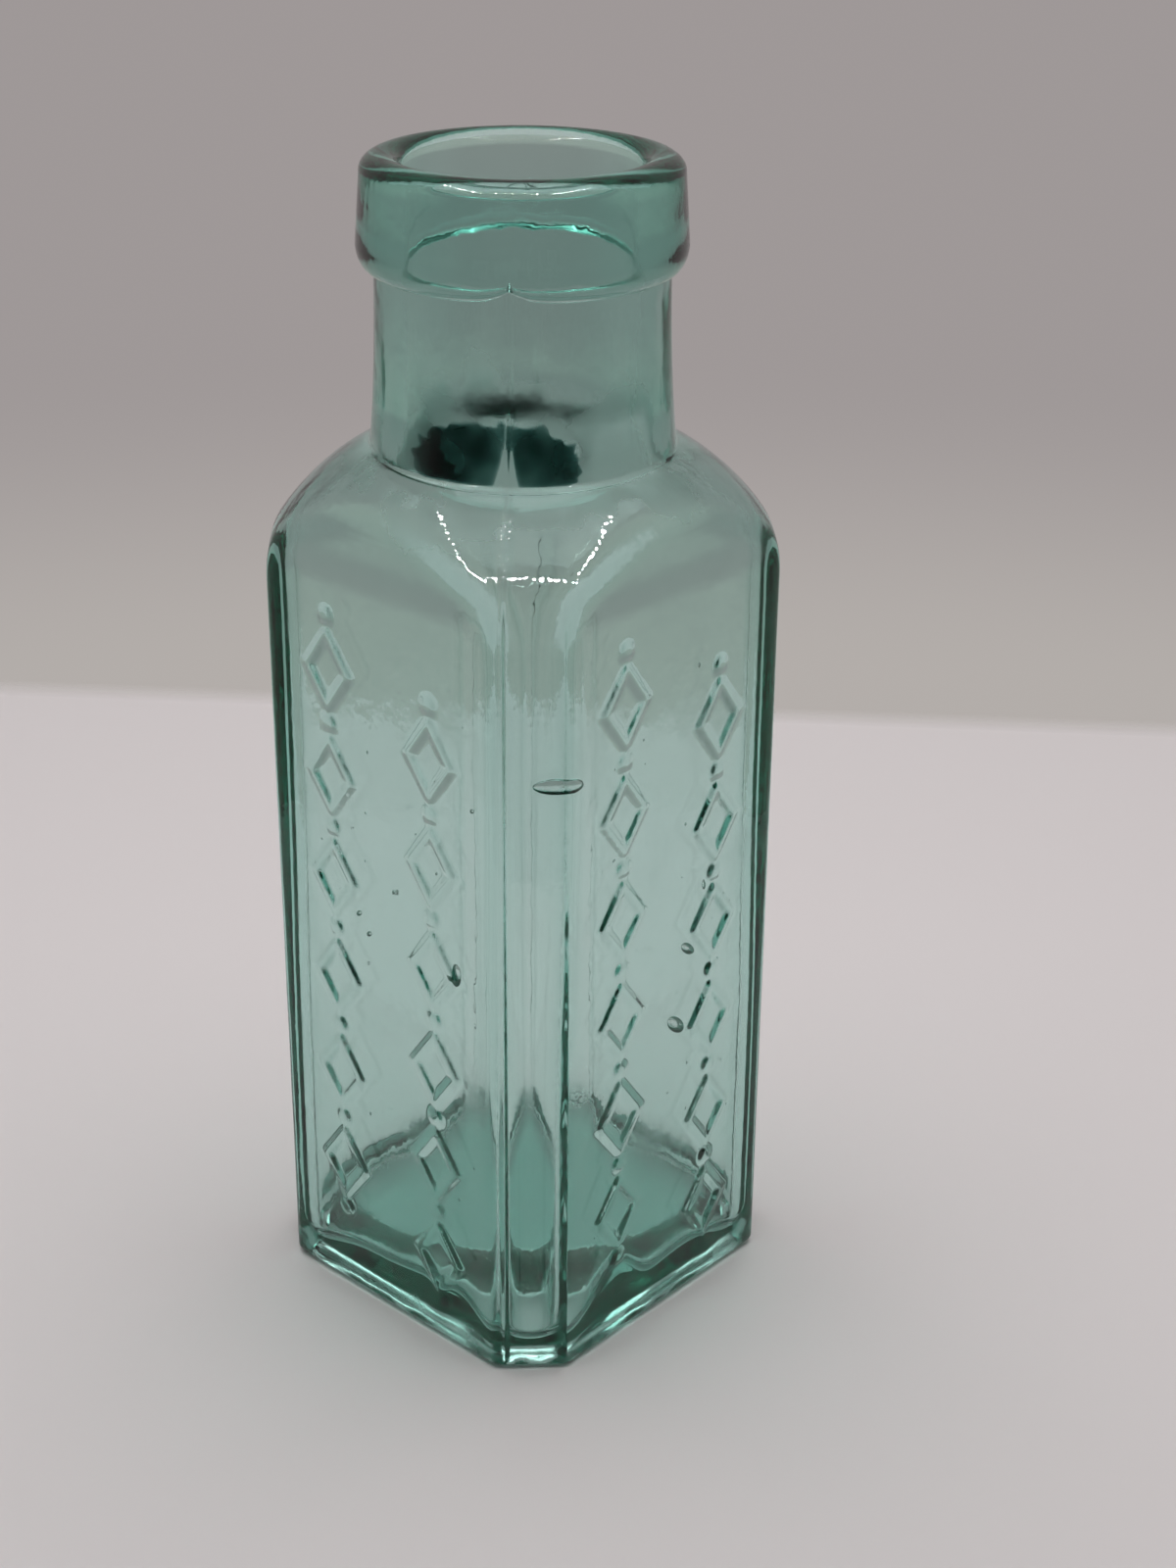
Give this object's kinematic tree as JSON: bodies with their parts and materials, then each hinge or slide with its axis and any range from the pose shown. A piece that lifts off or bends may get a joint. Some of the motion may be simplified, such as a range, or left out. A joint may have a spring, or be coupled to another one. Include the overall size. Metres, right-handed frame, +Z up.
{
  "type": "glass bottle",
  "caption": "Small square bottle of aqua glass with flattened corners, a domed shoulder, a round neck and a collar lip, open at the mouth, for holding dry or liquid drink concentrate.",
  "frame": {"origin": "middle of the base, on the surface that the bottle stands on", "axes": "+Z up through the mouth, X and Y square to the four flat panels"},
  "size_m": [0.0378, 0.0378, 0.11],
  "materials": {
    "body_glass": "aqua blown glass, slightly wavy, with seeds and bubbles",
    "lip_glass": "aqua tooled glass, thicker and deeper in tint"
  },
  "bodies": {
    "root": {"glass_body": "body_glass", "lip_ring": "lip_glass"}
  },
  "joints": []
}
